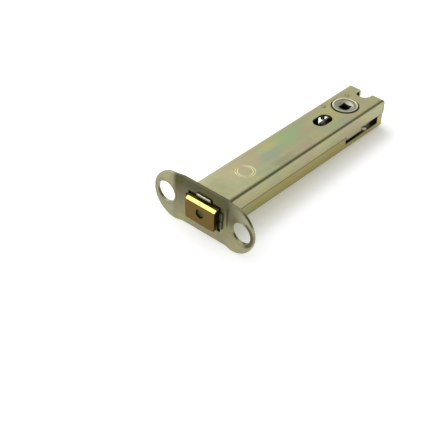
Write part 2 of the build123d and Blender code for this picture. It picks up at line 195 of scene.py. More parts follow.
# Finishes of this lock's own pieces
def soft_spot(tree, centre, size, ragged=0.35):
    """1 at centre, falling softly to 0 at the half sizes given, with a cloudy outline."""
    scale = tuple(1.0 / half for half in size)
    move = tuple(-middle / half for middle, half in zip(centre, size))
    vector = place(tree, scale, move)
    cloud = add(tree, "ShaderNodeTexNoise", inputs={"Vector": vector, "Scale": 2.6, "Detail": 3.0})
    pushed = add(
        tree,
        "ShaderNodeVectorMath",
        {"operation": "MULTIPLY_ADD"},
        {0: cloud.outputs["Color"], 1: (ragged * 2,) * 3, 2: vector},
    )
    reach = add(
        tree,
        "ShaderNodeVectorMath",
        {"operation": "DISTANCE"},
        {0: pushed.outputs[0], 1: (ragged,) * 3},
    )
    return remap(tree, reach.outputs["Value"], 0.15, 1.0, 1.0, 0.0, "SMOOTHSTEP")


def axis_value(tree, axis):
    """One of the part's own coordinates, in metres."""
    split = add(tree, "ShaderNodeSeparateXYZ", inputs={0: place(tree)})
    return split.outputs["XYZ".index(axis)]


def from_axis(tree, x, y):
    """Distance from the upright axis through x and y, in metres."""
    return length(tree, place(tree, (1.0, 1.0, 0.0), (-x, -y, 0.0)))


def off_circle(tree, reach, radius):
    """How far a distance from the middle is from a circle's radius."""
    return work(tree, "ABSOLUTE", work(tree, "SUBTRACT", reach, radius))


def passivated_zinc(name, base, clouds, seed, spots=(), zones=(), streak_turn=(0, 0, 0)):
    """Zinc plate with a yellow passivate: clouds and spots of interference colour, drawn lines.

    A cloud is a colour, the noise's low and high, a strength and a scale; a spot is a colour, a
    strength, a centre and its half sizes; a zone is a colour, a strength and a function of the
    tree that gives its mask.
    """
    made, tree, shader = new_finish(name)
    shift = (seed * 0.37, seed * 0.61, seed * 0.23)
    tint = colour(base)
    for number, (cloud_colour, low, high, strength, scale) in enumerate(clouds):
        moved = tuple(shift[(number + k) % 3] for k in range(3))
        drift = noise(tree, place(tree, move=moved), scale, 2.5, 0.5, 0.5)
        mist = remap(tree, drift, low, high, 0.0, strength)
        tint = blend_colour(tree, mist, tint, colour(cloud_colour))
    for spot_colour, strength, centre, size in spots:
        mist = product(tree, soft_spot(tree, centre, size), strength)
        tint = blend_colour(tree, mist, tint, colour(spot_colour))
    drawn = place(tree, (9.0, 420.0, 420.0), shift, streak_turn)
    streaks = noise(tree, drawn, 1.0, 3.0, 0.55)
    shade = remap(tree, streaks, 0.30, 0.72, 0.975, 1.02)
    grey = add(tree, "ShaderNodeCombineColor", inputs={0: shade, 1: shade, 2: shade}).outputs[0]
    tint = blend_colour(tree, 1.0, tint, grey, "MULTIPLY")
    for zone_colour, strength, make_mask in zones:
        mask = product(tree, make_mask(tree), strength)
        tint = blend_colour(tree, mask, tint, colour(zone_colour))
    wear(
        tree,
        shader,
        Base_Color=tint,
        Roughness=remap(tree, streaks, 0.30, 0.70, 0.28, 0.33),
        Metallic=0.88,
        Normal=bump(tree, streaks, 0.02, 0.00010),
    )
    return made, tree, shader


def stamped_rings(tree, shader, bright, detail):
    """Two plain rings stamped into the sheet: shallow grooves that shine a little, in places."""
    reach = from_axis(tree, *detail.ring_place)
    off = work(tree, "MINIMUM", *(off_circle(tree, reach, radius) for radius in detail.ring_radii))
    core, upper_side = 0.35, 0.004
    line = remap(tree, off, detail.ring_line * core, detail.ring_line, 1.0, 0.0)
    groove = product(tree, line, remap(tree, axis_value(tree, "Z"), 0.0, upper_side, 0.0, 1.0))
    rubbed = remap(tree, noise(tree, place(tree), 330.0, 2.0), 0.40, 0.62, 0.15, 0.75)
    tint = shader.inputs["Base Color"].links[0].from_socket
    normal = shader.inputs["Normal"].links[0].from_socket
    sunk = work(tree, "SUBTRACT", 1.0, groove)
    wear(
        tree,
        shader,
        Base_Color=blend_colour(tree, product(tree, groove, rubbed), tint, colour(bright)),
        Normal=bump(tree, sunk, 0.35, 0.00015, normal),
    )


def burnished_zinc(name, base):
    """Plating rubbed bright and uneven where the tongues were peened over."""
    made, tree, shader = new_finish(name)
    dents = noise(tree, place(tree), 900.0, 3.0, 0.6, 0.4)
    shade = tuple(0.42 * c for c in base)
    tint = blend_colour(
        tree, remap(tree, dents, 0.40, 0.62, 0.0, 0.8), colour(base), colour(shade)
    )
    wear(
        tree,
        shader,
        Base_Color=tint,
        Metallic=0.9,
        Roughness=remap(tree, dents, 0.3, 0.7, 0.18, 0.40),
        Normal=bump(tree, dents, 0.5, 0.00025),
    )
    return made


def brass_bar(name, base, dull_base, brown, face, bevel_depth, bevel_foot):
    """Drawn brass: the upper milled bevel is bright, the sawn face and the sides dull and brown,
    partly their own oxide and partly a painted dark reflection.

    The face stands at X = face, and the bevel reaches back by its depth and down to its foot.
    """
    start, full, last = 0.00010, 0.00016, 0.00003
    slope_fade, side_fade, side_shine = 0.0003, 0.0004, 0.50
    made, tree, shader = new_finish(name)
    clouds = noise(tree, place(tree), 240.0, 3.0, 0.6, 0.4)
    # The dull, stained base is partly oxide and partly a painted dark reflection on the face
    stained = blend_colour(
        tree, remap(tree, clouds, 0.38, 0.62, 0.0, 0.7), colour(dull_base), colour(brown)
    )
    forward = axis_value(tree, "X")
    back = face + bevel_depth
    behind_face = remap(tree, forward, face + start, face + full, 0.0, 1.0)
    before_sides = remap(tree, forward, back - start, back - last, 1.0, 0.0)
    slope = remap(tree, axis_value(tree, "Z"), bevel_foot, bevel_foot + slope_fade, 0.0, 1.0)
    bevel = product(tree, behind_face, before_sides, slope)
    sides = remap(tree, forward, back, back + side_fade, 0.0, side_shine)
    lines = noise(tree, place(tree, (30.0, 260.0, 1900.0)), 1.0, 3.0, 0.6)
    wear(
        tree,
        shader,
        Base_Color=blend_colour(tree, work(tree, "MAXIMUM", bevel, sides), stained, colour(base)),
        Metallic=1.0,
        Roughness=blend_value(tree, bevel, remap(tree, clouds, 0.3, 0.7, 0.30, 0.44), 0.20),
        Normal=bump(tree, lines, 0.18, 0.00008),
    )
    return made


def cast_zinc(name, base, flow, inside, rim):
    """Die-cast zinc: faint flow clouds, fine pits and a satin skin, with painted shade inside."""
    made, tree, shader = new_finish(name)
    clouds = noise(tree, place(tree), 210.0, 3.0, 0.55, 0.6)
    tint = blend_colour(
        tree, remap(tree, clouds, 0.35, 0.70, 0.0, 0.6), colour(base), colour(flow)
    )
    # Painted shade down the square hole and inside the case
    tint = blend_colour(tree, product(tree, inside_hub(tree), 0.92), tint, colour(inside))
    rubbed = remap(tree, noise(tree, place(tree), 190.0, 2.0), 0.40, 0.60, 0.60, 1.0)
    # Rubbed rim, with a painted highlight strongest on its rear left side
    tint = blend_colour(tree, product(tree, hub_rim_wear_and_highlight(tree), rubbed), tint, colour(rim))
    pits = noise(tree, place(tree), 850.0, 3.0, 0.7)
    wear(
        tree,
        shader,
        Base_Color=tint,
        Metallic=0.9,
        Roughness=remap(tree, pits, 0.3, 0.7, 0.30, 0.46),
        Normal=bump(tree, pits, 0.40, 0.00022),
    )
    return made


def plain_steel(name, base, low_gloss, high_gloss):
    """Rolled steel with fine lines along X and soft grey clouds."""
    made, tree, shader = new_finish(name)
    clouds = noise(tree, place(tree), 130.0, 2.0, 0.5, 0.3)
    shade = tuple(c * 0.72 for c in base)
    tint = blend_colour(
        tree, remap(tree, clouds, 0.38, 0.66, 0.0, 0.8), colour(base), colour(shade)
    )
    lines = noise(tree, place(tree, (40.0, 1100.0, 1100.0)), 1.0, 3.0, 0.6)
    wear(
        tree,
        shader,
        Base_Color=tint,
        Metallic=0.95,
        Roughness=remap(tree, lines, 0.3, 0.7, low_gloss, high_gloss),
        Normal=bump(tree, lines, 0.12, 0.00008),
    )
    return made


def moulded_nylon(name, base, grain_colour):
    """Black moulded nylon with a fine spark-eroded grain."""
    made, tree, shader = new_finish(name)
    grain = noise(tree, place(tree), 1700.0, 2.0, 0.6)
    tint = blend_colour(
        tree, remap(tree, grain, 0.3, 0.7, 0.0, 1.0), colour(base), colour(grain_colour)
    )
    wear(
        tree,
        shader,
        Base_Color=tint,
        Specular_IOR_Level=0.15,
        Roughness=remap(tree, grain, 0.3, 0.7, 0.42, 0.56),
        Normal=bump(tree, grain, 0.2, 0.00010),
    )
    return made


def seen_straight(tree, path):
    """1 for what the camera sees directly or through glass, 0 for what lights or mirrors."""
    return work(
        tree, "MAXIMUM", path.outputs["Is Camera Ray"], path.outputs["Is Transmission Ray"]
    )


def pale_floor(name, stage, make_shade):
    """Matte white floor; what the camera and reflections see of it is lifted to a clean white.

    The lift takes the shade's colour where make_shade, a function of the tree, gives 1.
    """
    made = bpy.data.materials.new(name)
    tree = bare_tree(made)
    matte = add(tree, "ShaderNodeBsdfDiffuse", inputs={"Color": colour(stage.floor_colour)})
    path = add(tree, "ShaderNodeLightPath")
    strength = work(
        tree,
        "ADD",
        product(tree, seen_straight(tree, path), stage.floor_lift),
        product(tree, path.outputs["Is Glossy Ray"], stage.mirrored_floor),
    )
    lifted = blend_colour(tree, make_shade(tree), WHITE, colour(stage.shade_colour))
    glow = add(tree, "ShaderNodeEmission", inputs={"Color": lifted, "Strength": strength})
    both = add(tree, "ShaderNodeAddShader", inputs={0: matte.outputs[0], 1: glow.outputs[0]})
    add(tree, "ShaderNodeOutputMaterial", inputs={"Surface": both.outputs[0]})
    return made


# Geometry helpers
def finished_piece(name, data, body, finish):
    """Make an object of a mesh, smooth shaded, that rides on one of the frame's bodies."""
    data.polygons.foreach_set("use_smooth", np.full(len(data.polygons), True))
    data.materials.append(finish)
    piece = bpy.data.objects.new(name, data)
    bpy.context.scene.collection.objects.link(piece)
    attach(piece, body)
    return piece


def grid_faces(rows, columns, close_rows=False, close_columns=False):
    """Quads between a grid's neighbouring points; a closed way joins its last line to its first."""
    row_count = rows if close_rows else rows - 1
    column_count = columns if close_columns else columns - 1
    i, j = np.meshgrid(np.arange(row_count), np.arange(column_count), indexing="ij")
    i2 = (i + 1) % rows
    j2 = (j + 1) % columns
    corners = (i * columns + j, i2 * columns + j, i2 * columns + j2, i * columns + j2)
    return np.stack(corners, -1).reshape(-1, 4)


def soft_edged(node_name, name, body, finish, width, segments=2):
    """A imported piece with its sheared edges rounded: a merged copy of its mesh under a bevel."""
    merge_reach, flat_within = 1e-6, math.radians(2.0)
    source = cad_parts[node_name]
    data = source.data.copy()
    data.name = name
    shape = bmesh.new()
    shape.from_mesh(data)
    bmesh.ops.remove_doubles(shape, verts=shape.verts[:], dist=merge_reach)
    bmesh.ops.dissolve_limit(
        shape,
        angle_limit=flat_within,
        use_dissolve_boundaries=False,
        verts=shape.verts[:],
        edges=shape.edges[:],
    )
    shape.to_mesh(data)
    shape.free()
    data.materials.clear()
    piece = finished_piece(name, data, body, finish)
    data.set_sharp_from_angle(angle=SHEET_ANGLE)
    rounding = piece.modifiers.new("Edge rounding", "BEVEL")
    rounding.width = width
    rounding.segments = segments
    rounding.limit_method = "ANGLE"
    rounding.angle_limit = SHEET_ANGLE
    rounding.harden_normals = True
    rounding.use_clamp_overlap = True
    rounding.miter_outer = "MITER_ARC"
    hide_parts(node_name)
    return piece


def closed_mesh(name, points, close_rows=False):
    """A mesh of a grid of points, closed along its columns, with its doubles merged."""
    merge_reach = 1e-7
    quads = grid_faces(*points.shape[:2], close_rows, True)
    data = bpy.data.meshes.new(name)
    data.from_pydata(points.reshape(-1, 3).tolist(), [], quads.tolist())
    shape = bmesh.new()
    shape.from_mesh(data)
    bmesh.ops.remove_doubles(shape, verts=shape.verts[:], dist=merge_reach)
    bmesh.ops.recalc_face_normals(shape, faces=shape.faces[:])
    shape.to_mesh(data)
    shape.free()
    return data


def prism(name, outline, low, high):
    """A straight bar along Y: an outline of X and Z, carried from low to high and closed."""
    near, far = (np.array([(x, y, z) for x, z in outline]) for y in (low, high))
    near_middle, far_middle = (np.broadcast_to(ring.mean(0), ring.shape) for ring in (near, far))
    data = closed_mesh(name, np.stack((near_middle, near, far, far_middle)))
    data.set_sharp_from_angle(angle=ADDED_ANGLE)
    return data


def socket_face(name, finish, detail, end):
    """The follower's face round its square: flat, then a shallow cone, then the square's walls.

    For an angle a the square's edge is at rho = s / max(|cos a|, |sin a|), and the cone reaches it
    at z = face - k (c - rho), with s half the square, c the cone's radius and k its slope.
    """
    count = 96
    lap = 0.00002
    wall_depth = 0.0016
    lip_depth = 0.0004
    _, hub_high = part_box("follower")
    angles = np.linspace(0.0, 2 * np.pi, count, endpoint=False) + np.pi / count
    cosine, sine = np.cos(angles), np.sin(angles)
    rho = detail.square / 2 / np.maximum(np.abs(cosine), np.abs(sine))
    face = np.full(count, hub_high.z - detail.rim_depth + lap)
    cone = np.full(count, detail.cone_radius)
    outer = np.full(count, detail.face_radius)
    drop = face - detail.cone_slope * (cone - rho)
    radii = np.stack((outer, cone, rho, rho, outer))
    heights = np.stack((face, face, drop, face - wall_depth, face - lip_depth))
    points = np.stack((follower_axis() + radii * cosine, radii * sine, end * heights), -1)
    data = closed_mesh(name, points, close_rows=True)
    data.set_sharp_from_angle(angle=ADDED_ANGLE)
    return finished_piece(name, data, "follower", finish)


def peened_end(name, finish, centre, half, seed):
    """A peened tongue's end: a squared pillow whose crest is dented by the hammer.

    With a round the end, b across it, h its half sizes, s the seed and S(a) = sign(a) |a|^e:
    y = hy S(cos b) S(cos a),  z = hz S(cos b) S(sin a),
    x = -hx S(sin b) (1 + m sin(p y + s) + n sin(q z + 2 s)) / (1 + m + n),
    with m and n the dents' depths and p and q their waves.
    """
    rows, columns = 17, 40
    power = 0.45
    dent_y, dent_z = 0.22, 0.16
    wave_y, wave_z = 5200.0, 4100.0
    across = np.linspace(-np.pi / 2, np.pi / 2, rows)[:, None]
    around = np.linspace(0.0, 2 * np.pi, columns, endpoint=False)[None, :]

    def square(values):
        return np.sign(values) * np.abs(values) ** power

    wide = square(np.cos(across))
    y = half[1] * wide * square(np.cos(around))
    z = half[2] * wide * square(np.sin(around))
    dents = dent_y * np.sin(wave_y * y + seed) + dent_z * np.sin(wave_z * z + 2.0 * seed)
    x = -half[0] * square(np.sin(across)) * (1.0 + dents) / (1.0 + dent_y + dent_z)
    points = np.stack((x, y, z), -1) + np.array(centre)
    return finished_piece(name, closed_mesh(name, points), "case", finish)


# Settings that a user would change
def colour_setting(name, description, default):
    """A colour among the settings."""
    return bpy.props.FloatVectorProperty(
        name=name,
        description=description,
        subtype="COLOR",
        size=3,
        min=0.0,
        max=1.0,
        default=default,
    )


def number_setting(name, description, default, low, high, unit="NONE"):
    """A number among the settings, with its bounds."""
    return bpy.props.FloatProperty(
        name=name,
        description=description,
        unit=unit,
        default=default,
        min=low,
        max=high,
    )


def length_setting(name, description, default, low, high):
    """A length among the settings, in metres, with its bounds."""
    return number_setting(name, description, default, low, high, "LENGTH")


class DeadboltFinish(bpy.types.PropertyGroup):
    """Colours of the deadbolt's finishes."""

    case_colour: colour_setting(
        "Case colour", "Main khaki of the passivate on the upper shell", (0.410, 0.388, 0.222)
    )
    flange_colour: colour_setting(
        "Flange colour", "Main colour of the passivate on the flange", (0.352, 0.335, 0.206)
    )
    lower_colour: colour_setting(
        "Lower shell colour", "Main colour of the lower, more golden shell", (0.385, 0.325, 0.100)
    )
    green_cloud: colour_setting(
        "Green clouds", "Green interference colour in the passivate", (0.290, 0.425, 0.205)
    )
    blue_cloud: colour_setting(
        "Blue clouds", "Blue-grey interference colour in the passivate", (0.270, 0.345, 0.260)
    )
    pink_cloud: colour_setting(
        "Pink clouds", "Pink interference colour in the passivate", (0.450, 0.335, 0.225)
    )
    straw_cloud: colour_setting(
        "Straw clouds", "Bright straw of the passivate where it is thick", (0.470, 0.440, 0.190)
    )
    grey_cloud: colour_setting(
        "Grey clouds", "Dull grey-green of the passivate where it is thin", (0.200, 0.220, 0.140)
    )
    # Dark olive for painted shade and dark reflection on the flange and the case, and for dark marks
    # such as the lines round the flange's holes
    dark_marks_and_shade: colour_setting(
        "Dark of the flange", "Dark olive for painted shade and for dark marks", (0.060, 0.053, 0.018)
    )
    # Painted shade laid on the case's inner faces and down the follower's square hole
    inner_shade_colour: colour_setting(
        "Inside of the case", "Painted shade on the inner faces", (0.030, 0.025, 0.012)
    )
    brass_colour: colour_setting(
        "Brass colour", "Colour of the bolt's milled bevels", (0.82, 0.74, 0.20)
    )
    # Partly the sawn brass's own dull oxide and partly a painted dark reflection
    dull_brass_colour: colour_setting(
        "Dull brass colour", "Colour of the bolt's sawn face and its sides", (0.140, 0.096, 0.022)
    )
    brown_brass_colour: colour_setting(
        "Brown brass colour", "Stains on the bolt's sawn face and its sides", (0.180, 0.092, 0.018)
    )
    casting_colour: colour_setting(
        "Casting colour", "Colour of the follower's die-casting", (0.275, 0.275, 0.205)
    )
    flow_colour: colour_setting(
        "Casting flow colour", "Faint clouds in the follower's casting", (0.46, 0.46, 0.36)
    )
    # Rubbed metal on the follower's rim, and a painted highlight on its rear left side
    worn_rim_highlight_colour: colour_setting(
        "Follower rim colour", "Bright rim of the follower", (1.0, 0.95, 0.62)
    )
    steel_colour: colour_setting(
        "Steel colour", "Colour of the tail, rivets, stud, roller and post", (0.60, 0.60, 0.53)
    )
    wire_colour: colour_setting("Wire colour", "Colour of the spring's wire", (0.60, 0.60, 0.58))
    insert_colour: colour_setting(
        "Insert colour", "Colour of the hardened insert's end", (0.072, 0.072, 0.030)
    )
    peened_colour: colour_setting(
        "Peened side colour", "Duller metal of the side tongues' ends", (0.13, 0.145, 0.105)
    )
    tongue_colour: colour_setting(
        "Peened tongue colour", "Bright metal where the tongues were peened", (0.95, 0.84, 0.77)
    )
    nylon_colour: colour_setting(
        "Nylon colour",
        "Colour of the guide sleeve and the follower's bearing rings",
        (0.026, 0.024, 0.014),
    )
    grain_colour: colour_setting(
        "Nylon grain colour", "Lighter grain in the nylon's skin", (0.034, 0.032, 0.018)
    )
    ring_colour: colour_setting(
        "Ring colour", "Rubbed metal in the rings on the upper shell", (0.74, 0.68, 0.36)
    )


class DeadboltDetail(bpy.types.PropertyGroup):
    """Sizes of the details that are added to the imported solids."""

    edge_rounding: length_setting(
        "Sheet edge rounding", "Radius left on the sheet's sheared edges", 0.00016, 0.0, 0.0005
    )
    bar_rounding: length_setting(
        "Bolt edge rounding",
        "Radius on the edges of the bolt and the casting",
        0.00022,
        0.0,
        0.0008,
    )
    bevel_depth: length_setting(
        "Bevel depth", "How far the bolt's bevels reach back from its face", 0.00165, 0.0, 0.005
    )
    bevel_drop: length_setting(
        "Bevel drop", "How far the bevels reach down from the bolt's edges", 0.00115, 0.0, 0.005
    )
    bevel_foot: length_setting(
        "Bevel foot", "Height over the bolt's middle where its upper bevel ends", 0.0042, 0.0, 0.01
    )
    peened_width: length_setting(
        "Peened width", "Width of the top tongue's bright crest", 0.00075, 0.0002, 0.002
    )
    hole_place: length_setting(
        "Hole place", "Distance of the flange's holes from its middle", 0.0225, 0.01, 0.04
    )
    hole_radius: length_setting("Hole radius", "Radius of the flange's holes", 0.00525, 0.001, 0.01)
    slot_start: length_setting(
        "Side slot start", "Where the side slots start, from the flange's ears", 0.09235, 0.05, 0.12
    )
    slot_length: length_setting("Slot length", "Length of a side slot", 0.0265, 0.01, 0.05)
    slot_depth: length_setting(
        "Slot depth", "How far a side slot reaches down from the seam", 0.0042, 0.001, 0.01
    )
    slot_fill: length_setting(
        "Side slot fill", "How much later the left side slot starts", 0.0040, 0.0, 0.01
    )
    square: length_setting(
        "Square hole", "Width of the follower's square hole", 0.005, 0.003, 0.008
    )
    rim_depth: length_setting(
        "Follower rim depth", "How far the follower's face lies below its rim", 0.00035, 0.0, 0.002
    )
    face_radius: length_setting(
        "Follower face radius", "Where the added face meets the casting's own", 0.0048, 0.003, 0.006
    )
    cone_radius: length_setting(
        "Funnel radius", "Radius of the shallow cone round the square", 0.0043, 0.003, 0.006
    )
    cone_slope: number_setting(
        "Funnel slope", "Drop of the cone per unit of radius", 0.45, 0.0, 2.0
    )
    sleeve_gap: length_setting(
        "Sleeve gap", "Gap between the guide sleeve and the case round it", 0.00005, 0.0, 0.0005
    )
    sheet: length_setting(
        "Sheet thickness", "Thickness of the shells' walls and tongues", 0.0012, 0.0005, 0.003
    )
    peened_rise: length_setting(
        "Peened rise", "How far a tongue's crest stands in front of its end", 0.00028, 0.0, 0.001
    )
    ring_place: bpy.props.FloatVectorProperty(
        name="Ring place",
        description="Centre of the plain stamped rings on the upper shell",
        unit="LENGTH",
        size=2,
        default=(0.0280, -0.0004),
    )
    ring_radii: bpy.props.FloatVectorProperty(
        name="Ring radii",
        description="Radii of the stamped rings",
        unit="LENGTH",
        size=2,
        default=(0.0047, 0.0037),
    )
    ring_line: length_setting(
        "Ring line", "Half the width of the stamped rings' lines", 0.00030, 0.0001, 0.001
    )


class DeadboltStage(bpy.types.PropertyGroup):
    """Floor, lamps and camera."""

    key_power: number_setting(
        "Key lamp", "Power of the large lamp over the far left of the case", 4.2, 0.0, 50.0, "POWER"
    )
    fill_power: number_setting(
        "Fill lamp", "Power of the lamp at the camera's left", 0.85, 0.0, 50.0, "POWER"
    )
    room_light: number_setting(
        "Room light", "Strength of the even light from all round", 0.42, 0.0, 2.0
    )
    mirrored_light: number_setting(
        "Mirrored light", "Strength of the room as the metal mirrors it", 0.85, 0.0, 2.0
    )
    dark_side: number_setting(
        "Dark side", "Strength of the room's dark side, as the metal mirrors it", 0.07, 0.0, 2.0
    )
    floor_colour: colour_setting("Floor colour", "Matte white of the floor", (0.80, 0.80, 0.80))
    floor_lift: number_setting(
        "Floor lift", "Light added to what is seen of the floor", 0.56, 0.0, 1.0
    )
    shade_colour: colour_setting(
        "Shade colour", "Colour of the floor's lift close beside the case", (0.56, 0.55, 0.47)
    )
    shade_reach: length_setting(
        "Shade reach", "How far from the case its close shade goes", 0.012, 0.001, 0.05
    )
    mirrored_floor: number_setting(
        "Mirrored floor", "Light added to what the metal mirrors of the floor", 0.62, 0.0, 2.0
    )
    lens: number_setting(
        "Lens", "Focal length of the camera, in millimetres on a 36 mm sensor", 96.37, 10.0, 400.0
    )


def finish_on(node_names, finish, sharp=35.0):
    """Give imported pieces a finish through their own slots; edges over sharp degrees stay crisp."""
    for name in node_names:
        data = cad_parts[name].data
        data.materials.clear()
        data.materials.append(finish)
        data.polygons.foreach_set("use_smooth", np.full(len(data.polygons), True))
        data.set_sharp_from_angle(angle=math.radians(sharp))


# Where on the pieces a finish changes
def near_flange(tree):
    """The front stretch of the case."""
    stretch = 0.035
    return remap(tree, axis_value(tree, "X"), 0.0, stretch, 1.0, 0.0)


def tongue_fronts(tree):
    """The tongues' sheared ends, in front of the flange."""
    face, fade = 0.0010, 0.0001
    return remap(tree, axis_value(tree, "X"), face - fade, face + fade, 1.0, 0.0)


def rear_turn(tree):
    """The shells' rear edges, where the sheet turns inwards and away from the light: painted shade.
    """
    start, end = 0.0016, 0.0006
    _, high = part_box("upper_shell")
    return remap(tree, axis_value(tree, "X"), high.x - start, high.x - end, 0.0, 1.0)


def below(tree, axis, low, high):
    """1 while the part's own coordinate, without its sign, is under low; 0 past high."""
    size = work(tree, "ABSOLUTE", axis_value(tree, axis))
    return remap(tree, size, low, high, 1.0, 0.0)


def inner_faces():
    """Half the width and half the height inside the case, from the sleeve that lines it."""
    _, sleeve_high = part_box("guide_sleeve")
    gap = bpy.context.scene.deadbolt_detail.sleeve_gap
    return sleeve_high.y + gap, sleeve_high.z + gap


def inside_case(tree):
    """The shells' inner faces and the cut edges beside them, which take painted shade."""
    _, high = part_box("upper_shell")
    sheet = bpy.context.scene.deadbolt_detail.sheet
    y_face, z_face = inner_faces()
    across = below(tree, "Y", y_face + 0.30 * sheet, y_face + 0.97 * sheet)
    upright = below(tree, "Z", z_face + 0.05 * sheet, z_face + 0.12 * sheet)
    along = below(tree, "X", high.x - 1.12 * sheet, high.x - 1.05 * sheet)
    return product(tree, across, upright, along)


def seam(tree):
    """A line of painted shade on the lower shell, under the upper shell's edge."""
    foot, start, end = -0.00085, -0.00055, 0.0002
    height = axis_value(tree, "Z")
    over = remap(tree, height, foot, start, 0.0, 1.0)
    return product(tree, over, remap(tree, height, 0.0, end, 1.0, 0.0))


def lower_bend(tree):
    """The lower shell's walls, with painted shade that grows towards their bends."""
    start, bend = -0.0035, -0.0075
    return remap(tree, axis_value(tree, "Z"), start, bend, 0.0, 1.0)


def beside_slots(tree):
    """The stretch of the case's length that the side slots take."""
    fade = 0.0005
    detail = bpy.context.scene.deadbolt_detail
    along = axis_value(tree, "X")
    start = detail.slot_start
    end = start + detail.slot_length
    after = remap(tree, along, start, start + fade, 0.0, 1.0)
    return product(tree, after, remap(tree, along, end - fade, end, 1.0, 0.0))


def slot_sill(tree):
    """The lower shell's sheared edge under its side slots, where painted shade lies."""
    depth, fade = 0.0006, 0.0001
    sill = -bpy.context.scene.deadbolt_detail.slot_depth
    height = axis_value(tree, "Z")
    over_foot = remap(tree, height, sill - depth, sill, 0.0, 1.0)
    under_sill = remap(tree, height, sill, sill + fade, 1.0, 0.0)
    return product(tree, over_foot, under_sill, beside_slots(tree))


def tab_edge(tree):
    """The lower edge of the upper shell's tabs, which hang into the side slots."""
    start, end = 0.0004, 0.0010
    upper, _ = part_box("upper_shell")
    low = remap(tree, axis_value(tree, "Z"), upper.z + start, upper.z + end, 1.0, 0.0)
    return product(tree, low, beside_slots(tree))


def pin_rings(tree):
    """A darker ring round each of the two staked pins in the top panel."""
    pin, reach = 0.0009, 0.0016
    masks = []
    for name in ("case_pin_front", "case_pin_rear"):
        low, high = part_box(name)
        off = from_axis(tree, (low.x + high.x) / 2, (low.y + high.y) / 2)
        masks.append(remap(tree, off, pin, reach, 1.0, 0.0))
    return work(tree, "MAXIMUM", *masks)


def flange_middle(tree):
    """The plate between its joggles, and the left joggle, most of all at the top, where a painted
    dark reflection lies.
    """
    left_end, left_full = 0.0188, 0.0165
    right_end, right_full = -0.0260, -0.0140
    foot, head, least = -0.0100, 0.0090, 0.16
    side = axis_value(tree, "Y")
    left = remap(tree, side, left_end, left_full, 0.0, 1.0)
    right = remap(tree, side, right_end, right_full, 0.0, 1.0)
    return product(tree, left, right, remap(tree, axis_value(tree, "Z"), foot, head, least, 1.0))


def from_hole(tree, side):
    """Distance from the axis of the flange's hole at one side, in metres."""
    middle = side * bpy.context.scene.deadbolt_detail.hole_place
    return length(tree, place(tree, (0.0, 1.0, 1.0), (0.0, -middle, 0.0)))


def hole_rings(tree):
    """A thin pressed line round each of the flange's holes."""
    away, half_line, fade = 0.0011, 0.00010, 0.00020
    ring = bpy.context.scene.deadbolt_detail.hole_radius + away
    off = [off_circle(tree, from_hole(tree, side), ring) for side in (1.0, -1.0)]
    return remap(tree, work(tree, "MINIMUM", *off), half_line, half_line + fade, 1.0, 0.0)


def left_ear_shade(tree):
    """Painted shade over the left ear, which is a little darker than the right one."""
    start, full = 0.0150, 0.0175
    return remap(tree, axis_value(tree, "Y"), start, full, 0.0, 1.0)


def right_ear_shade(tree):
    """The right ear's strip outside its hole, where painted shade lies."""
    lip, inner, outer = 0.0003, 0.0016, 0.0024
    start, full = -0.0235, -0.0258
    radius = bpy.context.scene.deadbolt_detail.hole_radius
    reach = from_hole(tree, -1.0)
    after = remap(tree, reach, radius, radius + lip, 0.0, 1.0)
    before = remap(tree, reach, radius + inner, radius + outer, 1.0, 0.0)
    outside = remap(tree, axis_value(tree, "Y"), start, full, 0.0, 1.0)
    return product(tree, after, before, outside)


def follower_axis():
    """Where the follower's axis stands along X: the middle of its bearing ring."""
    low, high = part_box("follower_bush_upper")
    return (low.x + high.x) / 2


def inside_hub(tree):
    """The follower's parts down the square hole and inside the case, but not its fork's ends, which
    take painted shade.
    """
    deep_end, deep_start = 0.0026, 0.0010
    near, far = 0.0085, 0.0095
    _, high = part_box("follower")
    deep = below(tree, "Z", high.z - deep_end, high.z - deep_start)
    off = from_axis(tree, follower_axis(), 0.0)
    return product(tree, deep, remap(tree, off, near, far, 1.0, 0.0))


def hub_rim_wear_and_highlight(tree):
    """The follower's raised rim, rubbed bright all round, with a painted highlight strongest on its
    rear left side.
    """
    start, end, half, least = 0.00022, 0.00012, 0.004, 0.25
    _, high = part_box("follower")
    size = work(tree, "ABSOLUTE", axis_value(tree, "Z"))
    raised = remap(tree, size, high.z - start, high.z - end, 0.0, 1.0)
    across = work(tree, "ADD", axis_value(tree, "X"), axis_value(tree, "Y"))
    middle = follower_axis()
    return product(tree, raised, remap(tree, across, middle - half, middle + half, least, 1.0))


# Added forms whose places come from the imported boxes
def left_slot_end(detail, finish):
    """The left side slot starts further back than the right one: sheet fills its front end."""
    lap = 0.0001
    y_face, _ = inner_faces()
    front, back = detail.slot_start - lap, detail.slot_start + detail.slot_fill
    foot = -detail.slot_depth - lap
    corners = ((front, foot), (back, foot), (back, -lap), (front, -lap))
    data = prism("left_slot_front_end", corners, y_face, y_face + detail.sheet)
    return finished_piece("left_slot_front_end", data, "case", finish)


def bolt_lower_edge(detail, finish):
    """Brass that fills the bolt's lower bevel, so that its face runs down as in the photo."""
    lap = 0.00001
    low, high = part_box("bolt_head")
    front, back, foot = low.x + lap, low.x + detail.bevel_depth, low.z + lap
    corners = ((front, low.z + detail.bevel_drop), (front, foot), (back, foot))
    inset = detail.bar_rounding
    data = prism("bolt_lower_edge", corners, low.y + inset, high.y - inset)
    return finished_piece("bolt_lower_edge", data, "bolt", finish)


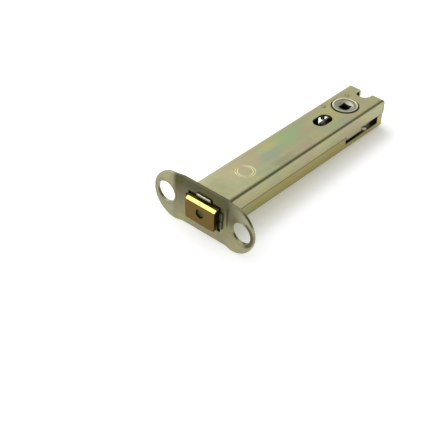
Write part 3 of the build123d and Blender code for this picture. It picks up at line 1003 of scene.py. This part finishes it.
def peened_places(detail):
    """Name, centre and half sizes of each tongue's crest, worked out from the shells' boxes."""
    sink, half_top, thick_share = 0.00005, 0.0040, 0.62
    level, half_side = 0.0022, 0.0016
    upper_low, upper_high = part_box("upper_shell")
    lower_low, lower_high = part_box("lower_shell")
    front = upper_low.x + sink
    proud = detail.peened_rise
    thin = detail.peened_width / 2
    thick = detail.sheet * thick_share
    half = (proud, thick, half_side)
    return (
        ("peened_end_top", (front, 0.0, upper_high.z - thin), (proud, half_top, thin)),
        ("peened_end_left_upper", (front, upper_high.y - thick, level), half),
        ("peened_end_right_upper", (front, upper_low.y + thick, level), half),
        ("peened_end_left_lower", (front, lower_high.y - thick, -level), half),
        ("peened_end_right_lower", (front, lower_low.y + thick, -level), half),
    )


# One operator for each group of pieces, and one for the stage
class DEADBOLT_OT_case(bpy.types.Operator):
    """Dress the flange and the two shells in passivated zinc, with their sheared edges rounded"""

    bl_idname = "deadbolt.case"
    bl_label = "Case and flange"

    def execute(self, context):
        finish = context.scene.deadbolt_finish
        detail = context.scene.deadbolt_detail
        faint = (
            (finish.green_cloud, 0.48, 0.68, 0.34, 52.0),
            (finish.pink_cloud, 0.50, 0.68, 0.36, 74.0),
            (finish.blue_cloud, 0.54, 0.72, 0.24, 61.0),
            (finish.straw_cloud, 0.48, 0.62, 0.50, 98.0),
        )
        panel, deep = 0.008, 0.010
        spots = tuple(
            (tint, strength, (x, y, panel), (half_x, half_y, deep))
            for tint, strength, x, y, half_x, half_y in (
                (finish.green_cloud, 0.80, 0.064, 0.0030, 0.024, 0.0080),
                (finish.blue_cloud, 0.60, 0.047, 0.0000, 0.012, 0.0055),
                (finish.pink_cloud, 0.60, 0.074, 0.0010, 0.011, 0.0050),
                (finish.grey_cloud, 0.35, 0.048, -0.0075, 0.013, 0.0035),
                (finish.green_cloud, 0.60, 0.090, -0.0070, 0.010, 0.0035),
                (finish.straw_cloud, 0.70, 0.052, 0.0045, 0.012, 0.0035),
                (finish.straw_cloud, 0.50, 0.084, 0.0030, 0.012, 0.0050),
                (finish.pink_cloud, 0.40, 0.034, 0.0020, 0.010, 0.0050),
                # Painted shade at the front of the top panel, by the flange
                (finish.dark_marks_and_shade, 0.22, 0.009, -0.0010, 0.011, 0.0120),
                (finish.straw_cloud, 0.60, 0.096, 0.0020, 0.012, 0.0100),
            )
        )
        dark = (
            # Painted shade on the case's inner faces
            (finish.inner_shade_colour, 0.92, inside_case),
            (finish.dark_marks_and_shade, 0.75, tongue_fronts),
        )
        upper, tree, shader = passivated_zinc(
            "Passivated zinc upper",
            finish.case_colour,
            faint,
            seed=1.0,
            spots=spots,
            zones=(
                (finish.dark_marks_and_shade, 0.35, tab_edge),
                (finish.dark_marks_and_shade, 0.60, pin_rings),
                # Painted shade at the shells' rear edges
                (finish.dark_marks_and_shade, 0.35, rear_turn),
            )
            + dark,
        )
        stamped_rings(tree, shader, finish.ring_colour, detail)
        lower, _, _ = passivated_zinc(
            "Passivated zinc lower",
            finish.lower_colour,
            faint[:2],
            seed=2.6,
            zones=(
                (finish.grey_cloud, 0.30, near_flange),
                # Painted shade on the lower walls towards their bends, along the seam, under the
                # slots and at the rear edges
                (finish.dark_marks_and_shade, 0.18, lower_bend),
                (finish.dark_marks_and_shade, 0.60, seam),
                (finish.dark_marks_and_shade, 0.50, slot_sill),
                (finish.dark_marks_and_shade, 0.45, rear_turn),
            )
            + dark,
        )
        plate, _, _ = passivated_zinc(
            "Passivated zinc flange",
            finish.flange_colour,
            faint,
            seed=4.3,
            # Painted dark reflection on the right joggle
            spots=((finish.dark_marks_and_shade, 0.55, (0.0, -0.0185, 0.004), (0.010, 0.0045, 0.0065)),),
            zones=(
                (finish.dark_marks_and_shade, 0.90, flange_middle),
                (finish.dark_marks_and_shade, 0.35, hole_rings),
                (finish.dark_marks_and_shade, 0.85, right_ear_shade),
                (finish.dark_marks_and_shade, 0.16, left_ear_shade),
            ),
            streak_turn=(0, 0, math.radians(90)),
        )
        width = detail.edge_rounding
        flange_width = 1.6 * width
        soft_edged("flange", "flange_plate", "case", plate, flange_width, 3)
        soft_edged("upper_shell", "upper_shell_sheet", "case", upper, width)
        soft_edged("lower_shell", "lower_shell_sheet", "case", lower, width)
        bright = burnished_zinc("Burnished zinc", finish.tongue_colour)
        dull = burnished_zinc("Peened zinc", finish.peened_colour)
        seed_step = 1.7
        for number, (name, centre, half) in enumerate(peened_places(detail)):
            skin = bright if name == "peened_end_top" else dull
            peened_end(name, skin, centre, half, seed_step * number)
        left_slot_end(detail, lower)
        return {"FINISHED"}


class DEADBOLT_OT_bolt(bpy.types.Operator):
    """Dress the bolt in brass, and its insert, tail, rivets and stud in steel"""

    bl_idname = "deadbolt.bolt"
    bl_label = "Bolt and tail"

    def execute(self, context):
        finish = context.scene.deadbolt_finish
        detail = context.scene.deadbolt_detail
        low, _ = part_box("bolt_head")
        brass = brass_bar(
            "Brass bar",
            finish.brass_colour,
            finish.dull_brass_colour,
            finish.brown_brass_colour,
            low.x,
            detail.bevel_depth,
            detail.bevel_foot,
        )
        soft_edged("bolt_head", "bolt_bar", "bolt", brass, detail.bar_rounding, 3)
        bolt_lower_edge(detail, brass)
        steel = plain_steel("Rolled steel", finish.steel_colour, 0.26, 0.42)
        hard = plain_steel("Hardened steel", finish.insert_colour, 0.26, 0.40)
        finish_on(("bolt_insert",), hard)
        finish_on(("bolt_tail", "head_rivet_front", "head_rivet_rear", "drive_stud"), steel)
        finish_on(("drive_roller", "spring_post"), steel)
        pins = plain_steel("Plated pins", finish.case_colour, 0.22, 0.34)
        finish_on(("case_pin_front", "case_pin_rear"), pins)
        return {"FINISHED"}


class DEADBOLT_OT_follower(bpy.types.Operator):
    """Dress the follower as a casting and its bearing rings and the guide sleeve as nylon"""

    bl_idname = "deadbolt.follower"
    bl_label = "Follower and bearings"

    def execute(self, context):
        finish = context.scene.deadbolt_finish
        detail = context.scene.deadbolt_detail
        casting = cast_zinc(
            "Zinc casting",
            finish.casting_colour,
            finish.flow_colour,
            finish.inner_shade_colour,
            finish.worn_rim_highlight_colour,
        )
        nylon = moulded_nylon("Moulded nylon", finish.nylon_colour, finish.grain_colour)
        soft_edged(
            "follower", "follower_casting", "follower", casting, detail.bar_rounding
        )
        finish_on(("follower_bush_upper", "follower_bush_lower", "guide_sleeve"), nylon)
        for name, end in (("socket_face_upper", 1.0), ("socket_face_lower", -1.0)):
            socket_face(name, casting, detail, end)
        return {"FINISHED"}


class DEADBOLT_OT_spring(bpy.types.Operator):
    """Dress the over-centre spring in bright spring wire"""

    bl_idname = "deadbolt.spring"
    bl_label = "Spring"

    def execute(self, context):
        finish = context.scene.deadbolt_finish
        wire = plain_steel("Spring wire", finish.wire_colour, 0.20, 0.30)
        finish_on(("toggle_spring",), wire, sharp=60.0)
        return {"FINISHED"}


class DEADBOLT_OT_stage(bpy.types.Operator):
    """Lay the pale floor, hang the lamps and set the camera"""

    bl_idname = "deadbolt.stage"
    bl_label = "Floor, lamps and camera"

    def execute(self, context):
        stage = context.scene.deadbolt_stage
        lay_floor(stage)
        light_room(context.scene, stage)
        set_camera(context.scene, stage)
        return {"FINISHED"}


# The stage
def beside_case(tree):
    """The strip of floor that lies in the shade of the case's right wall, fading outwards."""
    front, before, after = 0.006, 0.004, 0.006
    low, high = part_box("upper_shell")
    reach = bpy.context.scene.deadbolt_stage.shade_reach
    side = axis_value(tree, "Y")
    along = axis_value(tree, "X")
    return product(
        tree,
        remap(tree, side, low.y - reach, low.y, 0.0, 1.0),
        remap(tree, side, low.y / 2, 0.0, 1.0, 0.0),
        remap(tree, along, 0.0, front, 0.0, 1.0),
        remap(tree, along, high.x - before, high.x + after, 1.0, 0.0),
    )


def lay_floor(stage):
    """A floor that touches the flange's lower back edge and the case's rear one: z = a + b x."""
    flange_low, flange_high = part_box("flange")
    shell_low, shell_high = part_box("lower_shell")
    rise = (shell_low.z - flange_low.z) / (shell_high.x - flange_high.x)
    half_width = 3.0
    span = np.array((-half_width, half_width))
    x, y = np.meshgrid(span, span, indexing="ij")
    points = np.stack((x, y, flange_low.z + rise * (x - flange_high.x)), -1)
    data = bpy.data.meshes.new("floor")
    data.from_pydata(points.reshape(-1, 3).tolist(), [], grid_faces(2, 2).tolist())
    data.materials.append(pale_floor("Pale floor", stage, beside_case))
    floor = bpy.data.objects.new("floor", data)
    bpy.context.scene.collection.objects.link(floor)


def lamp(name, spot, target, size, power):
    """A square lamp at spot that faces target."""
    data = bpy.data.lights.new(name, "AREA")
    data.shape = "SQUARE"
    data.size = size
    data.energy = power
    made = bpy.data.objects.new(name, data)
    made.location = spot
    made.rotation_euler = (Vector(target) - Vector(spot)).to_track_quat("-Z", "Y").to_euler()
    bpy.context.scene.collection.objects.link(made)
    return made


def light_room(scene, stage):
    """Two broad lamps, and a white room with a dark side that only reflections see."""
    lamp("key_lamp", (0.20, 0.65, 0.75), (0.06, 0.0, 0.0), 0.8, stage.key_power)
    lamp("fill_lamp", (-0.36, 0.50, 0.76), (0.0, 0.0, 0.0), 0.5, stage.fill_power)
    room = bpy.data.worlds.new("Room")
    tree = bare_tree(room)
    path = add(tree, "ShaderNodeLightPath")
    strength = remap(tree, seen_straight(tree, path), 0.0, 1.0, stage.room_light, 1.0)
    dark_way = Vector((0.60, -0.62, 0.50)).normalized()
    dark_edge, dark_full = 0.80, 0.95
    way = add(tree, "ShaderNodeTexCoord").outputs["Generated"]
    toward = add(
        tree,
        "ShaderNodeVectorMath",
        {"operation": "DOT_PRODUCT"},
        {0: way, 1: dark_way},
    ).outputs["Value"]
    mirrored = remap(tree, toward, dark_edge, dark_full, stage.mirrored_light, stage.dark_side)
    strength = blend_value(tree, path.outputs["Is Glossy Ray"], strength, mirrored)
    back = add(tree, "ShaderNodeBackground", inputs={"Color": WHITE, "Strength": strength})
    add(tree, "ShaderNodeOutputWorld", inputs={"Surface": back.outputs[0]})
    scene.world = room


def set_camera(scene, stage):
    """The camera's place and turn, from its right, up and view directions."""
    spot = (-0.30779, -0.27325, 0.31960)
    right = Vector((0.66613, -0.74540, 0.02563))
    up = Vector((0.44681, 0.42633, 0.78651))
    view = Vector((0.59719, 0.51246, -0.61705))
    data = bpy.data.cameras.new("camera")
    data.sensor_width = 36.0
    data.lens = stage.lens
    data.clip_start = 0.01
    data.clip_end = 20.0
    made = bpy.data.objects.new("camera", data)
    turn = Matrix((right, up, -view)).transposed().to_4x4()
    made.matrix_world = Matrix.Translation(spot) @ turn
    scene.collection.objects.link(made)
    scene.camera = made
    scene.view_settings.view_transform = "Standard"


class DEADBOLT_PT_panel(bpy.types.Panel):
    """Deadbolt settings and the operators that build the scene"""

    bl_label = "Deadbolt"
    bl_idname = "DEADBOLT_PT_panel"
    bl_space_type = "VIEW_3D"
    bl_region_type = "UI"
    bl_category = "Deadbolt"

    def draw(self, context):
        layout = self.layout
        for name, group in GROUPS:
            box = layout.box()
            for key in group.__annotations__:
                box.prop(getattr(context.scene, name), key)
        for step in STEPS:
            layout.operator(step.bl_idname)


STEPS = (
    DEADBOLT_OT_case,
    DEADBOLT_OT_bolt,
    DEADBOLT_OT_follower,
    DEADBOLT_OT_spring,
    DEADBOLT_OT_stage,
)
GROUPS = (
    ("deadbolt_finish", DeadboltFinish),
    ("deadbolt_detail", DeadboltDetail),
    ("deadbolt_stage", DeadboltStage),
)


def register():
    """Register the settings, the steps and the panel."""
    for name, group in GROUPS:
        bpy.utils.register_class(group)
        setattr(bpy.types.Scene, name, bpy.props.PointerProperty(type=group))
    for step in STEPS:
        bpy.utils.register_class(step)
    bpy.utils.register_class(DEADBOLT_PT_panel)


def unregister():
    """Undo what register did, last first."""
    bpy.utils.unregister_class(DEADBOLT_PT_panel)
    for step in reversed(STEPS):
        bpy.utils.unregister_class(step)
    for name, group in reversed(GROUPS):
        delattr(bpy.types.Scene, name)
        bpy.utils.unregister_class(group)


def main():
    """Build the whole scene."""
    register()
    bpy.ops.deadbolt.case()
    bpy.ops.deadbolt.bolt()
    bpy.ops.deadbolt.follower()
    bpy.ops.deadbolt.spring()
    bpy.ops.deadbolt.stage()
    bpy.context.view_layer.update()


if __name__ == "__main__":
    main()
